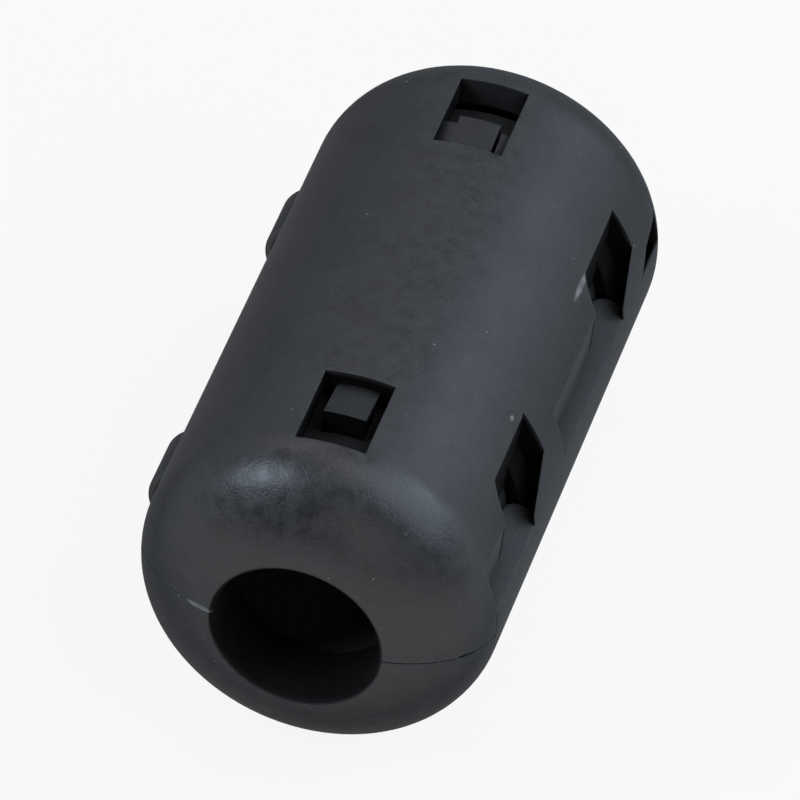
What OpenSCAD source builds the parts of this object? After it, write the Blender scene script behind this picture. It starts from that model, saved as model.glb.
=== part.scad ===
// Clip-on ferrite bead: a hinged two-part plastic housing that closes two half cores round a cable.
// The bore runs along Y, the seam lies in the XY plane, the hinge is on -X and the latch on +X.

/* [Housing] */
// Outside diameter of the closed housing
body_d = 19.5; // [17:0.1:24]
// Overall length of the closed housing
body_len = 39.2; // [34:0.2:60]
// Thickness of the shell wall
wall = 1.7; // [1.5:0.05:2]
// Length of each rounded end along the bore
dome_len = 5; // [4.6:0.1:5.6]
// Depth of each rounded end towards the bore axis
dome_depth = 6.5; // [6:0.1:7]
// Radius of the shoulder where a rounded end leaves the barrel
shoulder_r = 4; // [3.2:0.1:4.3]
// Rounding of the bore's outer edge
bore_round = 0.3; // [0.1:0.05:0.5]
// Gap between the two shells along the seam
seam_gap = 0.08; // [0.06:0.02:0.24]
// Extra seam gap at the ends of the latch side
seam_relief = 0.1; // [0.05:0.05:0.2]
// Width of that wider seam, in from the barrel's side
relief_w = 1.4; // [1:0.1:4]

/* [Ferrite core] */
// Thickness of the core, from its bore to its back
core_t = 3.1; // [2.4:0.05:4]
// How far the core reaches past the straight barrel into each rounded end
core_over = 0.9; // [0.4:0.1:1.2]
// Radial clearance between core and shell
core_clear = 0.15; // [0.05:0.05:0.3]
// Step from the shell's bore out to the core's bore
core_step = 0.3; // [0.1:0.1:0.8]
// Chamfer on the core's outer end edges
core_chamfer = 1; // [0.6:0.1:1.6]
// Gap between the mating faces of the two half cores
core_gap = 0.04; // [0.02:0.01:0.1]
// Clearance between the core's ends and the collars
core_end_clear = 0.1; // [0.05:0.05:0.3]
// Thickness of the collars that carry the bore from the end walls to the core
collar_t = 1.2; // [0.8:0.1:2]

/* [Wall windows] */
// How far a window reaches past the straight barrel into the rounded end
window_over = 0.3; // [0:0.05:0.6]
// Length of a window along the bore
window_len = 5.35; // [4.5:0.05:5.5]
// Width of a window
window_w = 3.8; // [3:0.1:5]
// Sideways place of the windows, towards the latch
window_x = -0.5; // [-1:0.1:1]
// Width of the spring tongue in a window
tongue_w = 2.3; // [1.6:0.1:2.4]
// Length of the spring tongue
tongue_len = 2.7; // [2:0.1:3.6]
// Length of the thick pad at the tongue's free end
tongue_pad = 1.7; // [1:0.1:1.8]
// Thickness of the tongue's thin neck at its root
tongue_neck = 0.6; // [0.4:0.05:0.8]
// Gap between the tongue's neck and the back of the core
tongue_lift = 0.45; // [0.3:0.05:0.6]
// How far the top of the pad's free end lies below the outer surface
tongue_drop = 0.4; // [0.2:0.05:0.7]
// Length of the shelf beside the tongue's root in the far windows
shelf_len = 2.2; // [0.6:0.1:2.4]
// Width of the slit between the tongue and its shelf on the latch side
slit_w = 0.2; // [0.1:0.05:0.4]
// Clearance between the pad and the back of the core
tongue_clear = 0.03; // [0.02:0.01:0.1]

/* [Latch] */
// Distance of each latch from the end of the straight barrel
latch_in = 6.2; // [5.2:0.1:7.2]
// Width of a latch pocket along the bore
latch_w = 6.3; // [6:0.1:6.8]
// Depth of a latch pocket's back wall below the barrel's side
latch_depth = 2.3; // [2.1:0.05:2.6]
// Radius of the round end of a latch pocket over the ledge
pocket_r = 2.4; // [2.2:0.1:2.8]
// Distance of that round end's centre from the middle of the pocket
pocket_run = 1.1; // [0.8:0.1:1.4]
// Height of the ledge on the latch side above mid-height
ledge_h = 2; // [1.8:0.1:2.3]
// Thickness of the ledge at its inner edge, down to the raised seam
ledge_t = 0.45; // [0.4:0.05:0.6]
// Fall of the ledge across its width, down to its outer edge
ledge_fall = 0.3; // [0.1:0.05:0.35]
// Width of the ledge where it is whole, in from the barrel's side
ledge_w = 1.15; // [0.9:0.05:1.3]
// Length of a ledge from the middle of its pocket
ledge_len = 11.5; // [7.2:0.1:12]
// How far the raised seam reaches past the straight barrel into each rounded end
ledge_over = 0.8; // [0:0.1:0.9]
// Radius of the ledge's round end beside a claw
ledge_tip_r = 0.9; // [0.8:0.05:1]
// Wall left between a claw hole's corner and the ledge's outer edge
slot_rim = 0.1; // [0.05:0.05:0.3]
// Extra width of a claw hole at its far side
hole_ease = 0.1; // [0.05:0.05:0.2]
// Depth of a claw slot below mid-height
slot_depth = 1.4; // [1.2:0.1:2]
// Distance of a claw from the far side of its pocket
claw_side = 0.25; // [0.2:0.05:0.4]
// Width of a claw
claw_w = 1.9; // [1.2:0.1:2]
// Thickness of a claw
claw_t = 0.5; // [0.4:0.05:0.6]
// Gap between a claw and the core behind it
claw_back_gap = 0.2; // [0.15:0.05:0.3]
// Gap round a claw in its slot
claw_gap = 0.15; // [0.1:0.05:0.2]
// Depth of a claw's tip below mid-height
claw_depth = 1; // [0.8:0.1:1.1]
// Height of the barb on a claw
barb_h = 0.8; // [0.6:0.05:0.9]
// How far the barb stands out from the claw
barb_out = 0.5; // [0.3:0.05:0.6]
// Wall between the far latch pocket and the pry notch
notch_gap = 0.25; // [0.15:0.05:0.5]
// Length of the pry notch's steep start
notch_ramp = 1.5; // [1:0.1:2]
// Height of the pry notch at the top of its steep start, above the raised seam
notch_rise = 1.3; // [0.8:0.1:1.4]
// Height of the pry notch at its far end, above the raised seam
notch_h = 1.9; // [1.5:0.1:2.2]
// Depth of the pry notch below the barrel's side
notch_depth = 1.2; // [0.8:0.1:1.3]
// Wall left round the slot that the pry notch opens into
notch_wall = 0.2; // [0.1:0.05:0.4]

/* [Hinge] */
// Distance of each hinge strap from the end of the straight barrel
strap_in = 4.5; // [3.6:0.1:7]
// Width of a hinge strap along the bore
strap_w = 3.4; // [2.4:0.1:7]
// Half height of a strap where it meets the barrel
strap_half_h = 1.9; // [1.5:0.1:3.5]
// Distance of the straps' middle below the seam
strap_low = 0.5; // [0:0.1:0.8]
// How far a strap stands out from the barrel
strap_out = 0.75; // [0.6:0.05:1]
// Thickness of a strap
strap_t = 0.5; // [0.4:0.05:0.6]
// Clearance between a strap's feet and the barrel
strap_clear = 0.03; // [0.02:0.01:0.1]

/* [Hidden] */
$fn = 96;
// Overlap that joins solids and clears cut faces
eps = 0.02;
// Larger than the whole part, for half spaces
far = 2 * body_len;
body_r = body_d / 2;
cavity_r = body_r - wall;
core_r = cavity_r - core_clear;
core_bore_r = core_r - core_t;
// Radius of the cable bore in the end walls
bore_r = core_bore_r - core_step;
// Radius of the flatter arc of a rounded end, tangent to the shoulder
face_r = (dome_len ^ 2 + dome_depth ^ 2 - 2 * dome_depth * shoulder_r) / (2 * (dome_len - shoulder_r));
// Height of the rounded end where it reaches the bore
dome_rise = dome_len - face_r + sqrt(face_r ^ 2 - (bore_r - body_r + dome_depth) ^ 2);
// Half length of the straight barrel
barrel_half = body_len / 2 - dome_rise;
shoulder_at = [body_r - shoulder_r, barrel_half];
face_at = [body_r - dome_depth, barrel_half + dome_len - face_r];
join_angle = atan2(shoulder_at.y - face_at.y, shoulder_at.x - face_at.x);
core_half = barrel_half + core_over;
window_start = barrel_half + window_over - window_len;
// Radius of the underside of a tongue's neck
neck_low = core_r + tongue_lift;
// Half length of the raised seam, and its height
ledge_reach = barrel_half + ledge_over;
raised_h = ledge_h - ledge_t;
latch_pos = barrel_half - latch_in;
strap_pos = barrel_half - strap_in;
half_seam = seam_gap / 2;
latch_x = body_r - latch_depth;
ledge_x = body_r - ledge_w;
// Place of a claw along the bore, from the middle of its pocket
claw_off = latch_w / 2 - claw_side - claw_w / 2;
// Outer radius of a claw
claw_r = core_r + claw_back_gap + claw_t;
// Outer corner of a claw hole beside the ledge's round end
hole_edge_x = sqrt(body_r ^ 2 - ledge_h ^ 2) - slot_rim;
// Share of a round end's radius between its centre and a straight wall that it meets at an angle
lean = 0.9;
// Centre of the ledge's round end, from the middle of its pocket
tip_at = [hole_edge_x - lean * ledge_tip_r, claw_off - claw_w / 2 - claw_gap - ledge_tip_r];
// Place of the pry notch's low end along the bore
notch_at = latch_pos + latch_w / 2 + notch_gap;
// Radius of the arc of a strap's outer face
strap_r = let (rise = body_r + strap_out - sqrt(body_r ^ 2 - strap_half_h ^ 2))
    (strap_half_h ^ 2 + rise ^ 2) / (2 * rise);
shell_color = [0.13, 0.135, 0.145];
core_color = [0.09, 0.08, 0.075];

// One end of the housing's half section, set in by an even amount
module end_section(inset) {
    square([body_r - inset, barrel_half]);
    translate(shoulder_at) intersection() {
        circle(shoulder_r - inset);
        square(shoulder_r);
    }
    intersection() {
        translate(face_at) circle(face_r - inset);
        polygon([
            [0, face_at.y],
            face_at,
            face_at + 2 * face_r * [cos(join_angle), sin(join_angle)],
            [0, face_at.y + 2 * face_r]
        ]);
    }
}

// Turns a half section, radius across and length up, about the bore axis
module about_bore() {
    rotate([-90, 0, 0]) rotate_extrude() children();
}

module housing_solid(inset) {
    about_bore() {
        end_section(inset);
        mirror([0, 1]) end_section(inset);
    }
}

// Round bar along the bore axis
module bore_bar(r, length) {
    rotate([90, 0, 0]) cylinder(r = r, h = length, center = true);
}

// Tube along the bore axis
module bore_tube(r_in, r_out, length) {
    difference() {
        bore_bar(r_out, length);
        bore_bar(r_in, length + 1);
    }
}

// Box given by two opposite corners
module span(low, high) {
    translate(low) cube(high - low);
}

// Repeats its children for the two ends of the part
module both_ends() {
    children();
    mirror([0, 1, 0]) children();
}

// Rounds the outer edge of the bore at the ends of the housing
module bore_edge_cut() {
    edge = body_len / 2;
    both_ends() about_bore() translate([bore_r, edge - bore_round]) difference() {
        translate([-eps, 0]) square(bore_round + eps);
        translate([bore_round, 0]) circle(bore_round);
    }
}

// Collars that carry the bore through the rounded ends and stop the core from sliding
module collars() {
    start = core_half + core_end_clear;
    both_ends() about_bore() translate([bore_r - eps, start])
        square([collar_t + eps, body_len / 2 - wall / 2 - start]);
}

// Spring tongue that presses on the back of the core, thin at its root and thick at its free end
module tongue() {
    tip = window_start + tongue_len;
    intersection() {
        about_bore() polygon([
            [neck_low, window_start - eps],
            [neck_low, tip - tongue_pad],
            [core_r + tongue_clear, tip - tongue_pad],
            [core_r + tongue_clear, tip],
            [body_r - tongue_drop, tip],
            [neck_low + tongue_neck, window_start - eps]
        ]);
        span([window_x - tongue_w / 2, 0, 0], [window_x + tongue_w / 2, far, far]);
    }
}

// Shelf on both sides of a tongue's root, level with it and slit free on the latch side
module shelf() {
    tip = window_start + shelf_len;
    // Height of the tongue's top at the end of the shelf
    top = neck_low + tongue_neck + (body_r - tongue_drop - neck_low - tongue_neck) * shelf_len / tongue_len;
    intersection() {
        about_bore() polygon([
            [neck_low, window_start - eps],
            [neck_low, tip],
            [top, tip],
            [neck_low + tongue_neck, window_start - eps]
        ]);
        translate([window_x, 0, 0]) {
            span([-window_w / 2 - eps, 0, 0], [0, far, far]);
            span([tongue_w / 2 + slit_w, 0, 0], [window_w / 2 + eps, far, far]);
        }
    }
}

module window_cut() {
    translate([window_x, window_start, 0]) span([-window_w / 2, 0, 0], [window_w / 2, window_len, far]);
}

// Repeats its children at the two latches
module both_latches() {
    for (at = [-latch_pos, latch_pos]) translate([0, at, 0]) children();
}

// Outline of a latch pocket on the far side of the ledge
module pocket_outline(back_x) {
    polygon([
        [back_x, tip_at.y],
        [hole_edge_x, tip_at.y],
        [claw_r + claw_gap + hole_ease, latch_w / 2],
        [back_x, latch_w / 2]
    ]);
}

// Outline of the hole that a claw stands in, pointed on both sides of the ledge's round end
module hole_outline(back_x) {
    difference() {
        pocket_outline(back_x);
        translate(tip_at) circle(ledge_tip_r);
    }
}

// Hole down through the upper shell
module latch_hole() {
    linear_extrude(height = far) hole_outline(latch_x);
}

// Space above the ledge, which falls towards its outer edge
module above_ledge() {
    translate([ledge_x, 0, ledge_h]) rotate([0, atan(ledge_fall / ledge_w), 0])
        span([-far, -far, 0], [far, far, far]);
}

// Recess over the ledge: the pocket with its round end, and a flat side that runs on along the barrel
module ledge_recess() {
    intersection() {
        linear_extrude(height = far) {
            pocket_outline(latch_x);
            intersection() {
                union() {
                    translate([latch_x + lean * pocket_r, -pocket_run]) circle(pocket_r);
                    translate([latch_x, -pocket_run]) square(far);
                    translate([ledge_x, -ledge_len]) square(far);
                }
                translate([latch_x, tip_at.y + eps - far]) square(far);
            }
        }
        above_ledge();
    }
}

// Both ledge recesses, within the length of the raised seam
module ledge_recesses() {
    intersection() {
        both_latches() ledge_recess();
        span([0, -ledge_reach - half_seam, 0], [far, ledge_reach + half_seam, far]);
    }
}

// Notch in the upper shell at the far end of the raised seam, where the halves are pried open
module pry_notch() {
    end = ledge_reach + half_seam;
    translate([body_r - notch_depth, 0, 0]) rotate([90, 0, 90]) linear_extrude(height = far) polygon([
        [notch_at, 0],
        [end, 0],
        [end, raised_h + notch_h],
        [notch_at + notch_ramp, raised_h + notch_rise],
        [notch_at, raised_h]
    ]);
}

// Slot in the lower shell under the pry notch
module pry_slot() {
    span(
        [body_r - notch_depth, notch_at + notch_wall, -slot_depth],
        [hole_edge_x, ledge_reach - half_seam - notch_wall, far]
    );
}

// Claw on the upper shell, with a barb at its tip that hooks under the ledge
module claw() {
    near = claw_off - claw_w / 2;
    // Height at which the claw has run into the pocket's back wall
    root = sqrt(claw_r ^ 2 - (latch_x - claw_t) ^ 2);
    intersection() {
        bore_tube(claw_r - claw_t, claw_r, body_len);
        span([0, near, -claw_depth], [body_r, near + claw_w, root]);
    }
    intersection() {
        bore_tube(claw_r - claw_t, claw_r + barb_out, body_len);
        span([0, near, -claw_depth], [body_r, near + claw_w, -claw_depth + barb_h]);
    }
}

// Slot in the lower shell for a claw, and the undercut for its barb
module claw_slot() {
    half_w = claw_w / 2 + claw_gap;
    top = -claw_depth + barb_h + claw_gap;
    translate([0, 0, -slot_depth]) linear_extrude(height = far) hole_outline(0);
    intersection() {
        bore_bar(claw_r + barb_out + claw_gap, body_len);
        span([0, claw_off - half_w, -slot_depth], [body_r, claw_off + half_w, top]);
    }
}

// Space above the seam, with the seam raised along the latch side
module above_seam() {
    difference() {
        span([-far, -far, half_seam], [far, far, far]);
        span([0, -ledge_reach - half_seam, 0], [far, ledge_reach + half_seam, raised_h + half_seam]);
        span([body_r - relief_w, -far, 0], [far, far, half_seam + seam_relief]);
    }
}

// Space below the seam
module below_seam() {
    span([-far, -far, -far], [far, far, -half_seam]);
    span([0, -ledge_reach + half_seam, -far], [far, ledge_reach - half_seam, raised_h - half_seam]);
}

// What both shells share: rounded housing, cavity, bore, collars and windows with tongues
module plain_shell() {
    difference() {
        union() {
            difference() {
                housing_solid(0);
                housing_solid(wall);
            }
            collars();
        }
        bore_bar(bore_r, far);
        bore_edge_cut();
        both_ends() window_cut();
    }
    both_ends() tongue();
    shelf();
}

module lower_shell() {
    color(shell_color) difference() {
        intersection() {
            mirror([0, 0, 1]) plain_shell();
            below_seam();
        }
        both_latches() claw_slot();
        pry_slot();
    }
}

module upper_shell() {
    color(shell_color) {
        difference() {
            intersection() {
                plain_shell();
                above_seam();
            }
            ledge_recesses();
            both_latches() latch_hole();
            pry_notch();
        }
        both_latches() claw();
    }
}

// Half core with its mating face on the seam
module half_core() {
    color(core_color) intersection() {
        about_bore() core_section();
        span([-far, -far, core_gap / 2], [far, far, far]);
    }
}

module core_section() {
    polygon([
        [core_bore_r, -core_half],
        [core_r - core_chamfer, -core_half],
        [core_r, -core_half + core_chamfer],
        [core_r, core_half - core_chamfer],
        [core_r - core_chamfer, core_half],
        [core_bore_r, core_half]
    ]);
}

module upper_core() {
    half_core();
}

module lower_core() {
    mirror([0, 0, 1]) half_core();
}

// Thin moulded strap that bows out over the seam on the hinge side
module hinge_strap() {
    color(shell_color) translate([0, strap_w / 2, 0]) rotate([90, 0, 0]) linear_extrude(height = strap_w)
        difference() {
            translate([strap_r - body_r - strap_out, -strap_low]) difference() {
                circle(strap_r);
                circle(strap_r - strap_t);
                translate([0, -far]) square(2 * far);
            }
            circle(body_r + strap_clear);
        }
}

module hinge_strap_front() {
    translate([0, -strap_pos, 0]) hinge_strap();
}

module hinge_strap_rear() {
    translate([0, strap_pos, 0]) hinge_strap();
}

lower_shell();
upper_shell();
lower_core();
upper_core();
hinge_strap_front();
hinge_strap_rear();
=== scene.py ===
"""Looks for the clip-on ferrite bead: moulded black housing, sintered cores and curved hinge straps."""

import math

import bmesh
import bpy
from mathutils import Matrix, Vector


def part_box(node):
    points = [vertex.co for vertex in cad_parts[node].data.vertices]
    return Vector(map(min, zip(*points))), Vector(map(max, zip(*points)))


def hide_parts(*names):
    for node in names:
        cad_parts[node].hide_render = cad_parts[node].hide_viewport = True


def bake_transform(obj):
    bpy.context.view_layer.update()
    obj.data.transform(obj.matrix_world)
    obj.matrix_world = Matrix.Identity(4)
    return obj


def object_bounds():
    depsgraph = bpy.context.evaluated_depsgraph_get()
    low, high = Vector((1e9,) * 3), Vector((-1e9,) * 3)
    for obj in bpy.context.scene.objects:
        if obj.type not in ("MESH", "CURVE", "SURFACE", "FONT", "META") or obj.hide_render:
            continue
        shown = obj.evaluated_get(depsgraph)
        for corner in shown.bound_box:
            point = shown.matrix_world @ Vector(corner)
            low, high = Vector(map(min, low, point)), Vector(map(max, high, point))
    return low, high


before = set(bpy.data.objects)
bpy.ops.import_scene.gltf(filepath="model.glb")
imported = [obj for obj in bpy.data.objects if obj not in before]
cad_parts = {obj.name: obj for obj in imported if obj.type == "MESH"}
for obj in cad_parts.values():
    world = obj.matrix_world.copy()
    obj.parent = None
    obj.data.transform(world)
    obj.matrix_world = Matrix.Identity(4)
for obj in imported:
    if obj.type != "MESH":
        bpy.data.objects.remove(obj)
cad_low, cad_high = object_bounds()
MM = 0.001

scene = bpy.context.scene
scene.view_settings.view_transform = "Standard"

# ---------------------------------------------------------------- node helpers

# Colour sockets of a Mix node, by number because their names repeat
MIX_BASE, MIX_OVER, MIX_RESULT = 6, 7, 2

EDGE_COSINE = 0.9     # cosine between the softened and the true normal at a fully worn edge
PATCH_CORE = 0.5      # share of a patch's reach that has its full strength
SPECK_CORE = 0.6      # share of a speck's radius that has its full strength
SPECK_FAINTEST = 0.3


def material(name):
    """A new node material, its node tree and its Principled shader."""
    made = bpy.data.materials.new(name)
    made.use_nodes = True
    tree = made.node_tree
    return made, tree, tree.nodes["Principled BSDF"]


def node(tree, kind, **values):
    """A new node with its properties set, and its sockets by name or number."""
    made = tree.nodes.new(kind)
    for key, value in values.items():
        if key == "inputs":
            for socket, number in value.items():
                made.inputs[socket].default_value = number
        else:
            setattr(made, key, value)
    return made


def noise(tree, coords, size, detail=2.0, rough=0.5, distortion=0.0):
    """Noise whose blotches are about size metres across."""
    made = node(tree, "ShaderNodeTexNoise", inputs={
        "Scale": 1.0 / size, "Detail": detail, "Roughness": rough, "Distortion": distortion})
    tree.links.new(coords, made.inputs["Vector"])
    return made.outputs["Fac"]


def ramp(tree, value, stops):
    """Colour ramp through (place, colour) stops."""
    made = node(tree, "ShaderNodeValToRGB")
    elements = made.color_ramp.elements
    while len(elements) < len(stops):
        elements.new(0.5)
    for element, (place, colour) in zip(elements, stops):
        element.position = place
        element.color = (*colour, 1.0)
    tree.links.new(value, made.inputs["Fac"])
    return made.outputs["Color"]


def spread(tree, value, low, high, to_low, to_high):
    """Maps a value's range to another, clamped."""
    made = node(tree, "ShaderNodeMapRange", clamp=True, inputs={
        "From Min": low, "From Max": high, "To Min": to_low, "To Max": to_high})
    tree.links.new(value, made.inputs["Value"])
    return made.outputs["Result"]


def math_node(tree, kind, a, b):
    """Two-input math, where each input is a socket or a number."""
    made = node(tree, "ShaderNodeMath", operation=kind)
    for socket, value in zip(made.inputs, (a, b)):
        if isinstance(value, (int, float)):
            socket.default_value = value
        else:
            tree.links.new(value, socket)
    return made.outputs["Value"]


def size_of(tree, value):
    """A value without its sign."""
    return math_node(tree, "ABSOLUTE", value, 0.0)


def product(tree, first, *others):
    """All the values multiplied together."""
    for other in others:
        first = math_node(tree, "MULTIPLY", first, other)
    return first


def highest(tree, first, *others):
    """The highest of the values."""
    for other in others:
        first = math_node(tree, "MAXIMUM", first, other)
    return first


def mix_colour(tree, factor, base, colour):
    """Lays a colour over a base; the factor and the base are sockets."""
    made = node(tree, "ShaderNodeMix", data_type="RGBA", inputs={MIX_OVER: (*colour, 1.0)})
    tree.links.new(factor, made.inputs["Factor"])
    tree.links.new(base, made.inputs[MIX_BASE])
    return made.outputs[MIX_RESULT]


def bump(tree, height, strength, distance, normal):
    """A normal with bumps of a height map added to it."""
    made = node(tree, "ShaderNodeBump", inputs={"Strength": strength, "Distance": distance})
    tree.links.new(height, made.inputs["Height"])
    tree.links.new(normal, made.inputs["Normal"])
    return made.outputs["Normal"]


def soft_normal(tree, radius):
    """The normal with edges rounded to a radius."""
    return node(tree, "ShaderNodeBevel", samples=6, inputs={"Radius": radius}).outputs["Normal"]


def edge_mask(tree, normal):
    """One along worn edges and zero on flat places, from a softened normal."""
    geometry = node(tree, "ShaderNodeNewGeometry")
    dot = node(tree, "ShaderNodeVectorMath", operation="DOT_PRODUCT")
    tree.links.new(normal, dot.inputs[0])
    tree.links.new(geometry.outputs["Normal"], dot.inputs[1])
    return spread(tree, dot.outputs["Value"], 1.0, EDGE_COSINE, 0.0, 1.0)


def openness(tree, reach):
    """One on open surfaces and near zero deep in a piece's own holes."""
    made = node(tree, "ShaderNodeAmbientOcclusion", samples=8, only_local=True,
                inputs={"Distance": reach})
    return made.outputs["AO"]


def patch(tree, coords, centre, reach):
    """One at a place on the part and zero beyond an ellipsoid about it; both in millimetres."""
    shift = node(tree, "ShaderNodeMapping", vector_type="TEXTURE", inputs={
        "Location": [value * MM for value in centre], "Scale": [value * MM for value in reach]})
    tree.links.new(coords, shift.inputs["Vector"])
    away = node(tree, "ShaderNodeVectorMath", operation="LENGTH")
    tree.links.new(shift.outputs["Vector"], away.inputs[0])
    return spread(tree, away.outputs["Value"], PATCH_CORE, 1.0, 1.0, 0.0)


def dust(tree, coords, cell, size, share):
    """Sparse round specks: a share of the cells holds one."""
    made = node(tree, "ShaderNodeTexVoronoi", inputs={"Scale": 1.0 / cell})
    tree.links.new(coords, made.inputs["Vector"])
    near = spread(tree, made.outputs["Distance"], SPECK_CORE * size / cell, size / cell, 1.0, 0.0)
    channels = node(tree, "ShaderNodeSeparateColor")
    tree.links.new(made.outputs["Color"], channels.inputs["Color"])
    kept = math_node(tree, "LESS_THAN", channels.outputs["Red"], share)
    faint = spread(tree, channels.outputs["Green"], 0.0, 1.0, SPECK_FAINTEST, 1.0)
    return product(tree, near, kept, faint)


def distance_to_axis(tree, coords):
    """Distance from the middle of the bore."""
    flat = node(tree, "ShaderNodeVectorMath", operation="MULTIPLY", inputs={1: (1.0, 0.0, 1.0)})
    tree.links.new(coords, flat.inputs[0])
    away = node(tree, "ShaderNodeVectorMath", operation="LENGTH")
    tree.links.new(flat.outputs["Vector"], away.inputs[0])
    return away.outputs["Value"]


def band(tree, value, low, high, soft):
    """One between two places, in millimetres, with soft ends."""
    rising = spread(tree, value, (low - soft) * MM, low * MM, 0.0, 1.0)
    falling = spread(tree, value, high * MM, (high + soft) * MM, 1.0, 0.0)
    return product(tree, rising, falling)


# ---------------------------------------------------------------- housing plastic

# Dark places of the housing, where shade is painted, in millimetres: lowest, highest and softness along X, Y
# and the radius
POCKET_X, POCKET_Y, POCKET_R = (7.1, 9.6, 0.4), (5.1, 11.9, 0.4), (6.0, 9.5, 0.18)
WINDOW_X, WINDOW_Y, WINDOW_R = (-1.0, 2.6, 0.4), (6.0, 14.4, 0.4), (6.0, 9.45, 0.2)
NOTCH_X, NOTCH_Y, NOTCH_R = (8.3, 9.7, 0.3), (12.1, 15.5, 0.2), (6.0, 9.55, 0.15)
BORE_FADE = (4.6 * MM, 4.76 * MM)
# Strength of the painted shade in the bore, and on the faces that look up in the windows
BORE_SHADE = 0.88
WALL_FADE = (0.5, 0.8)    # upward share of the normal between a wall and a face that looks up
TONGUE_SHADE = 0.3

# Pale places of the housing: a scuffed nick on the seam, then two painted highlights on the rounded edges of
# the latch pockets; centre and half sizes in millimetres, and strength
SCUFF_AND_HIGHLIGHT_PATCHES = (
    ((-5.3, -19.4, 0.0), (0.9, 1.0, 0.17), 1.0),
    ((7.54, 5.4, 6.17), (0.2, 1.5, 0.28), 0.6),
    ((7.09, -6.4, 6.69), (0.16, 0.25, 0.16), 0.6),
)
SCUFF_AND_HIGHLIGHT_FAINTEST = 0.35     # share of the strength of the scuff and of the painted highlights that the mottling leaves everywhere

HOUSING_EDGE = 0.14 * MM
HOLE_REACH = 7.0 * MM
HOLE_OPENNESS = (0.33, 0.78)
CLOUD_SIZE = 3.2 * MM
MOTTLE_SIZE = 0.75 * MM
GRAIN_SIZE = 0.16 * MM
SPECK_CELL = 1.1 * MM
SPECK_SIZE = 0.085 * MM
SPECK_SHARE = 0.36
MOTTLE_RELIEF = 0.07 * MM
GRAIN_RELIEF = 0.035 * MM

# Colours under the gloss
CLOUD_DARK = (0.0120, 0.0124, 0.0130)
CLOUD_LIGHT = (0.0215, 0.0218, 0.0224)
MOTTLE_COLOUR = (0.0285, 0.0289, 0.0297)
GRAIN_COLOUR = (0.040, 0.0403, 0.041)
SPECK_COLOUR = (0.16, 0.155, 0.145)
WORN_COLOUR = (0.085, 0.087, 0.092)
# Near black of the painted shade in the housing's holes
PAINTED_SHADE_COLOUR = (0.003, 0.0028, 0.0026)
# Pale colour of the seam scuff and of the painted highlights on the pocket edges
SCUFF_AND_HIGHLIGHT_COLOUR = (0.33, 0.33, 0.31)

# Gloss: duller at grazing angles and where shade is painted
GRAZING = (0.18, 0.55)
ROUGH_HEAD_ON, ROUGH_GRAZING = 0.37, 0.95
ROUGH_IN_PAINTED_SHADE = 0.5
SPECULAR_OPEN, SPECULAR_IN_PAINTED_SHADE = 0.5, 0.08


def painted_hole_shade(tree, texture):
    """Painted shade: one in the holes of the housing, and less on the tongues in the windows."""
    place = node(tree, "ShaderNodeSeparateXYZ")
    tree.links.new(texture.outputs["Object"], place.inputs["Vector"])
    facing = node(tree, "ShaderNodeSeparateXYZ")
    tree.links.new(texture.outputs["Normal"], facing.inputs["Vector"])
    x, y, upward = place.outputs["X"], place.outputs["Y"], facing.outputs["Z"]
    radius = distance_to_axis(tree, texture.outputs["Object"])
    along = size_of(tree, y)
    steep = spread(tree, upward, *WALL_FADE, 1.0, 0.0)
    wall = spread(tree, size_of(tree, upward), *WALL_FADE, 1.0, TONGUE_SHADE)
    bore = spread(tree, radius, *BORE_FADE, BORE_SHADE, 0.0)
    pocket = product(tree, band(tree, along, *POCKET_Y), band(tree, x, *POCKET_X),
                     band(tree, radius, *POCKET_R), steep)
    window = product(tree, band(tree, along, *WINDOW_Y), band(tree, size_of(tree, x), *WINDOW_X),
                     band(tree, radius, *WINDOW_R), wall)
    notch = product(tree, band(tree, y, *NOTCH_Y), band(tree, x, *NOTCH_X),
                    band(tree, radius, *NOTCH_R))
    return highest(tree, bore, pocket, window, notch)


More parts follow.
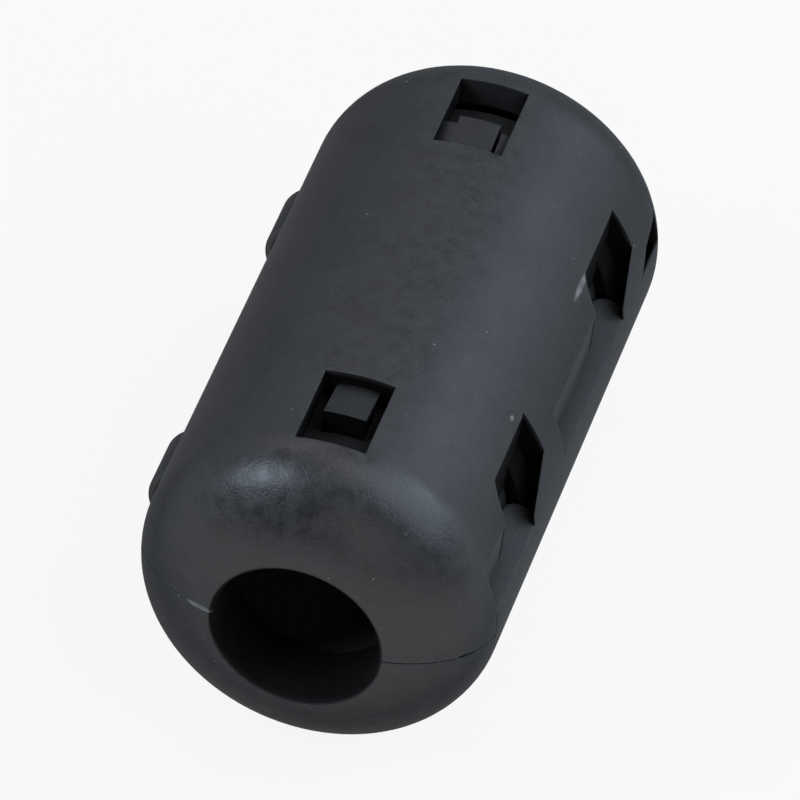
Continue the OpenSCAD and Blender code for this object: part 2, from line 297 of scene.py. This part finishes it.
def plastic():
    """Satin black plastic, mottled from the mould, with dust, a scuff, worn edges, painted highlights on the
    pocket edges and painted shade in its holes.
    """
    made, tree, shader = material("housing_plastic")
    texture = node(tree, "ShaderNodeTexCoord")
    coords = texture.outputs["Object"]
    soft = soft_normal(tree, HOUSING_EDGE)
    cloud = noise(tree, coords, CLOUD_SIZE, detail=3.0)
    mottle = noise(tree, coords, MOTTLE_SIZE, detail=4.0, rough=0.62)
    grain = noise(tree, coords, GRAIN_SIZE, detail=2.0, rough=0.6)
    base = ramp(tree, cloud, [(0.32, CLOUD_DARK), (0.68, CLOUD_LIGHT)])
    base = mix_colour(tree, spread(tree, mottle, 0.4, 0.62, 0.0, 0.75), base, MOTTLE_COLOUR)
    base = mix_colour(tree, spread(tree, grain, 0.4, 0.7, 0.0, 0.45), base, GRAIN_COLOUR)
    specks = dust(tree, coords, SPECK_CELL, SPECK_SIZE, SPECK_SHARE)
    base = mix_colour(tree, specks, base, SPECK_COLOUR)
    worn = product(tree, edge_mask(tree, soft), spread(tree, mottle, 0.4, 0.7, 0.02, 0.4))
    base = mix_colour(tree, worn, base, WORN_COLOUR)
    # Painted shade: darkest deep in the piece's own holes, from ambient occlusion and the hole masks
    ao_shade = spread(tree, openness(tree, HOLE_REACH), *HOLE_OPENNESS, 1.0, 0.0)
    painted_shade = highest(tree, ao_shade, painted_hole_shade(tree, texture))
    base = mix_colour(tree, painted_shade, base, PAINTED_SHADE_COLOUR)
    # Pale patches: a scuff on the seam, and painted highlights on the pocket edges
    for centre, reach, strength in SCUFF_AND_HIGHLIGHT_PATCHES:
        uneven = spread(tree, mottle, 0.38, 0.6, SCUFF_AND_HIGHLIGHT_FAINTEST * strength, strength)
        pale_marks = product(tree, patch(tree, coords, centre, reach), uneven)
        base = mix_colour(tree, pale_marks, base, SCUFF_AND_HIGHLIGHT_COLOUR)
    tree.links.new(base, shader.inputs["Base Color"])
    facing = node(tree, "ShaderNodeLayerWeight", inputs={"Blend": 0.5}).outputs["Facing"]
    rough = math_node(tree, "ADD", spread(tree, facing, *GRAZING, ROUGH_HEAD_ON, ROUGH_GRAZING),
                      spread(tree, mottle, 0.35, 0.65, -0.06, 0.07))
    rough = math_node(tree, "ADD", rough, product(tree, painted_shade, ROUGH_IN_PAINTED_SHADE))
    tree.links.new(rough, shader.inputs["Roughness"])
    normal = bump(tree, mottle, 0.32, MOTTLE_RELIEF, soft)
    normal = bump(tree, grain, 0.45, GRAIN_RELIEF, normal)
    tree.links.new(normal, shader.inputs["Normal"])
    tree.links.new(spread(tree, painted_shade, 0.0, 1.0, SPECULAR_OPEN, SPECULAR_IN_PAINTED_SHADE),
                   shader.inputs["Specular IOR Level"])
    return made


# ---------------------------------------------------------------- ferrite

FERRITE_EDGE = 0.2 * MM
FERRITE_CLOUD_SIZE = 3.0 * MM
FERRITE_GRAIN_SIZE = 0.28 * MM
FERRITE_RELIEF = 0.05 * MM
STREAK_SIZE = 0.5 * MM
STREAK_STRETCH = (1.0, 0.12, 1.0)     # streaks run along the bore
STREAK_FADE = (4.95 * MM, 5.1 * MM)   # radius beyond which there are none
OUTER_SHADE_FADE = (7.0 * MM, 7.6 * MM)      # radius from which the painted shade on the core's outer surface begins
FERRITE_DARK = (0.023, 0.019, 0.0155)
FERRITE_MID = (0.042, 0.0355, 0.029)
FERRITE_LIGHT = (0.066, 0.056, 0.046)
FERRITE_CLOUD = (0.034, 0.0295, 0.025)
STREAK_COLOUR = (0.15, 0.137, 0.118)
# Near black of the painted shade on the core's outer surface
OUTER_SHADE_COLOUR = (0.0035, 0.0032, 0.003)
FERRITE_WORN = (0.07, 0.062, 0.054)
FERRITE_WEAR = 0.4
ROUGH_IN_OUTER_SHADE = 0.5


def ferrite():
    """Sintered brown-black ceramic, granular, rubbed along the bore, with painted shade on its outer surface.
    """
    made, tree, shader = material("sintered_ferrite")
    coords = node(tree, "ShaderNodeTexCoord").outputs["Object"]
    soft = soft_normal(tree, FERRITE_EDGE)
    cloud = noise(tree, coords, FERRITE_CLOUD_SIZE, detail=3.0)
    grain = noise(tree, coords, FERRITE_GRAIN_SIZE, detail=4.0, rough=0.65)
    along = node(tree, "ShaderNodeMapping", inputs={"Scale": STREAK_STRETCH})
    tree.links.new(coords, along.inputs["Vector"])
    streak = noise(tree, along.outputs["Vector"], STREAK_SIZE, detail=3.0, rough=0.6, distortion=0.6)
    radius = distance_to_axis(tree, coords)
    base = ramp(tree, grain, [(0.3, FERRITE_DARK), (0.6, FERRITE_MID), (0.8, FERRITE_LIGHT)])
    base = mix_colour(tree, spread(tree, cloud, 0.4, 0.7, 0.0, 0.5), base, FERRITE_CLOUD)
    pale_marks = product(tree, spread(tree, streak, 0.64, 0.74, 0.0, 0.6),
                     spread(tree, radius, *STREAK_FADE, 1.0, 0.0))
    base = mix_colour(tree, pale_marks, base, STREAK_COLOUR)
    # Painted shade on the core's outer surface, where the windows show it
    outer_shade = spread(tree, radius, *OUTER_SHADE_FADE, 0.0, 1.0)
    base = mix_colour(tree, outer_shade, base, OUTER_SHADE_COLOUR)
    worn = product(tree, edge_mask(tree, soft), FERRITE_WEAR)
    base = mix_colour(tree, worn, base, FERRITE_WORN)
    tree.links.new(base, shader.inputs["Base Color"])
    rough = math_node(tree, "ADD", spread(tree, grain, 0.3, 0.7, 0.52, 0.34),
                      product(tree, outer_shade, ROUGH_IN_OUTER_SHADE))
    tree.links.new(rough, shader.inputs["Roughness"])
    tree.links.new(bump(tree, grain, 0.35, FERRITE_RELIEF, soft), shader.inputs["Normal"])
    return made


HOUSING = plastic()
FERRITE = ferrite()
FINISH = {"lower_shell": HOUSING, "upper_shell": HOUSING, "lower_core": FERRITE, "upper_core": FERRITE}
for name, finish in FINISH.items():
    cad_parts[name].data.materials[0] = finish

# ---------------------------------------------------------------- hinge straps

# Curved bands over the hinge straps
BODY_R = 9.75 * MM
STRAP_HALF_H = 1.9 * MM
STRAP_LOW = 0.5 * MM
STRAP_T = 0.5 * MM
STRAP_CORNER = 0.17 * MM
STRAP_PARTS = 40
CORNER_PARTS = 3


def strap_section(width, thick, corner):
    """Closed outline of a strap's cross-section with rounded corners: (along the bore, through the strap)."""
    points = []
    for sy, sx, turn in ((1, 1, 0), (-1, 1, 90), (-1, -1, 180), (1, -1, 270)):
        centre = Vector((sy * (width / 2 - corner), sx * (thick / 2 - corner)))
        for i in range(CORNER_PARTS + 1):
            angle = math.radians(turn + 90 * i / CORNER_PARTS)
            points.append(centre + corner * Vector((math.cos(angle), math.sin(angle))))
    return points


def hinge_strap(node_name):
    """A curved band over the CAD strap, with soft edges; the CAD strap is hidden."""
    low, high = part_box(node_name)
    foot_x = -math.sqrt(BODY_R ** 2 - STRAP_HALF_H ** 2)
    rise = foot_x - low.x
    radius = (STRAP_HALF_H ** 2 + rise ** 2) / (2 * rise)
    centre_x = low.x + radius
    reach = math.asin(STRAP_HALF_H / radius)
    section = strap_section(high.y - low.y, STRAP_T, STRAP_CORNER)
    middle_y = (low.y + high.y) / 2
    mesh = bmesh.new()
    rings = []
    for i in range(STRAP_PARTS + 1):
        angle = reach * (2 * i / STRAP_PARTS - 1)
        ring = []
        for y, depth in section:
            r = radius - STRAP_T / 2 + depth
            z = r * math.sin(angle) - STRAP_LOW
            ring.append(mesh.verts.new((centre_x - r * math.cos(angle), middle_y + y, z)))
        rings.append(ring)
    for a, b in zip(rings, rings[1:]):
        for k in range(len(a)):
            mesh.faces.new((a[k - 1], a[k], b[k], b[k - 1]))
    mesh.faces.new(rings[0])
    mesh.faces.new(rings[-1][::-1])
    bmesh.ops.recalc_face_normals(mesh, faces=mesh.faces)
    data = bpy.data.meshes.new(node_name + "_band")
    mesh.to_mesh(data)
    mesh.free()
    for face in data.polygons:
        face.use_smooth = len(face.vertices) == 4
    made = bpy.data.objects.new(node_name + "_band", data)
    scene.collection.objects.link(made)
    data.materials.append(HOUSING)
    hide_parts(node_name)
    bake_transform(made)


for name in ("hinge_strap_front", "hinge_strap_rear"):
    hinge_strap(name)

# ---------------------------------------------------------------- camera

# The photograph's viewing angle
RIGHT = Vector((0.95126, 0.29008, 0.10466))
UP = Vector((-0.27392, 0.63888, 0.71889))
BACK = Vector((0.14167, -0.71252, 0.68720))
FOCAL_PX = 8971.74
DISTANCE = 477.80 * MM
OFFSET_PX = (4.54, 5.11)
IMAGE_PX = 800.0
SENSOR = 36.0
CLIP = (0.01, 50.0)

camera_data = bpy.data.cameras.new("camera")
camera = bpy.data.objects.new("camera", camera_data)
scene.collection.objects.link(camera)
scene.camera = camera
camera_data.sensor_width = SENSOR
camera_data.lens = FOCAL_PX / IMAGE_PX * SENSOR
camera_data.clip_start, camera_data.clip_end = CLIP
per_px = DISTANCE / FOCAL_PX
place = DISTANCE * BACK - OFFSET_PX[0] * per_px * RIGHT - OFFSET_PX[1] * per_px * UP
camera.matrix_world = Matrix((
    (RIGHT.x, UP.x, BACK.x, place.x),
    (RIGHT.y, UP.y, BACK.y, place.y),
    (RIGHT.z, UP.z, BACK.z, place.z),
    (0, 0, 0, 1),
))

# ---------------------------------------------------------------- floor

# Pale floor that shows near white and keeps a soft shadow
FLOOR_HALF = 3.0
FLOOR_GREY = 0.45
FLOOR_ROUGH = 0.9
WHITE = (1.0, 1.0, 1.0, 1.0)
WHITE_SHARE = 0.9


def white_to_view(tree):
    """Share of white for rays from the camera, off gloss or through glass."""
    path = node(tree, "ShaderNodeLightPath")
    seen = highest(tree, path.outputs["Is Camera Ray"], path.outputs["Is Transmission Ray"],
                   path.outputs["Is Glossy Ray"])
    return product(tree, seen, WHITE_SHARE)


def floor_material():
    """Plain grey, mixed with white where it is seen."""
    made, tree, shader = material("pale_floor")
    shader.inputs["Base Color"].default_value = (FLOOR_GREY, FLOOR_GREY, FLOOR_GREY, 1.0)
    shader.inputs["Roughness"].default_value = FLOOR_ROUGH
    shader.inputs["Specular IOR Level"].default_value = 0.0
    glow = node(tree, "ShaderNodeEmission", inputs={"Color": WHITE, "Strength": 1.0})
    mixer = node(tree, "ShaderNodeMixShader")
    tree.links.new(white_to_view(tree), mixer.inputs["Fac"])
    tree.links.new(shader.outputs["BSDF"], mixer.inputs[1])
    tree.links.new(glow.outputs["Emission"], mixer.inputs[2])
    tree.links.new(mixer.outputs["Shader"], tree.nodes["Material Output"].inputs["Surface"])
    return made


floor_data = bpy.data.meshes.new("floor")
floor_corners = [(x * FLOOR_HALF, y * FLOOR_HALF, cad_low.z)
                 for x, y in ((-1, -1), (1, -1), (1, 1), (-1, 1))]
floor_data.from_pydata(floor_corners, [], [(0, 1, 2, 3)])
floor_data.materials.append(floor_material())
floor = bpy.data.objects.new("floor", floor_data)
scene.collection.objects.link(floor)

# ---------------------------------------------------------------- light

# Dim plain world and soft lamps
WORLD_LEVEL = 0.03
world = bpy.data.worlds.new("studio")
scene.world = world
world.use_nodes = True
background = world.node_tree.nodes["Background"]
background.inputs["Color"].default_value = WHITE
background.inputs["Strength"].default_value = WORLD_LEVEL

LAMP_AWAY = 0.4
LAMP_SIZE = 0.18
KEY_SIZE = 0.4
COOL = (0.84, 0.97, 1.15)
WARM = (1.04, 0.98, 0.97)


def softbox(name, azimuth, elevation, watts, colour, size=LAMP_SIZE):
    """Square area lamp that faces the object, from an azimuth about +Z and an elevation in degrees."""
    data = bpy.data.lights.new(name, "AREA")
    data.shape = "SQUARE"
    data.size = size
    data.energy = watts
    data.color = colour
    made = bpy.data.objects.new(name, data)
    turn, rise = math.radians(azimuth), math.radians(elevation)
    away = Vector((math.cos(rise) * math.cos(turn), math.cos(rise) * math.sin(turn), math.sin(rise)))
    made.location = LAMP_AWAY * away
    made.rotation_mode = "QUATERNION"
    made.rotation_quaternion = away.to_track_quat("Z", "Y")
    scene.collection.objects.link(made)


softbox("right_key", 0, 50, 1.12, COOL, KEY_SIZE)
softbox("right_back", 45, 30, 0.54, COOL)
softbox("left_front", 212, 38, 0.74, COOL)
softbox("front", 285, 22, 0.13, WARM)
softbox("left_back", 135, 50, 0.26, WARM)
softbox("top", 0, 90, 0.18, WARM)
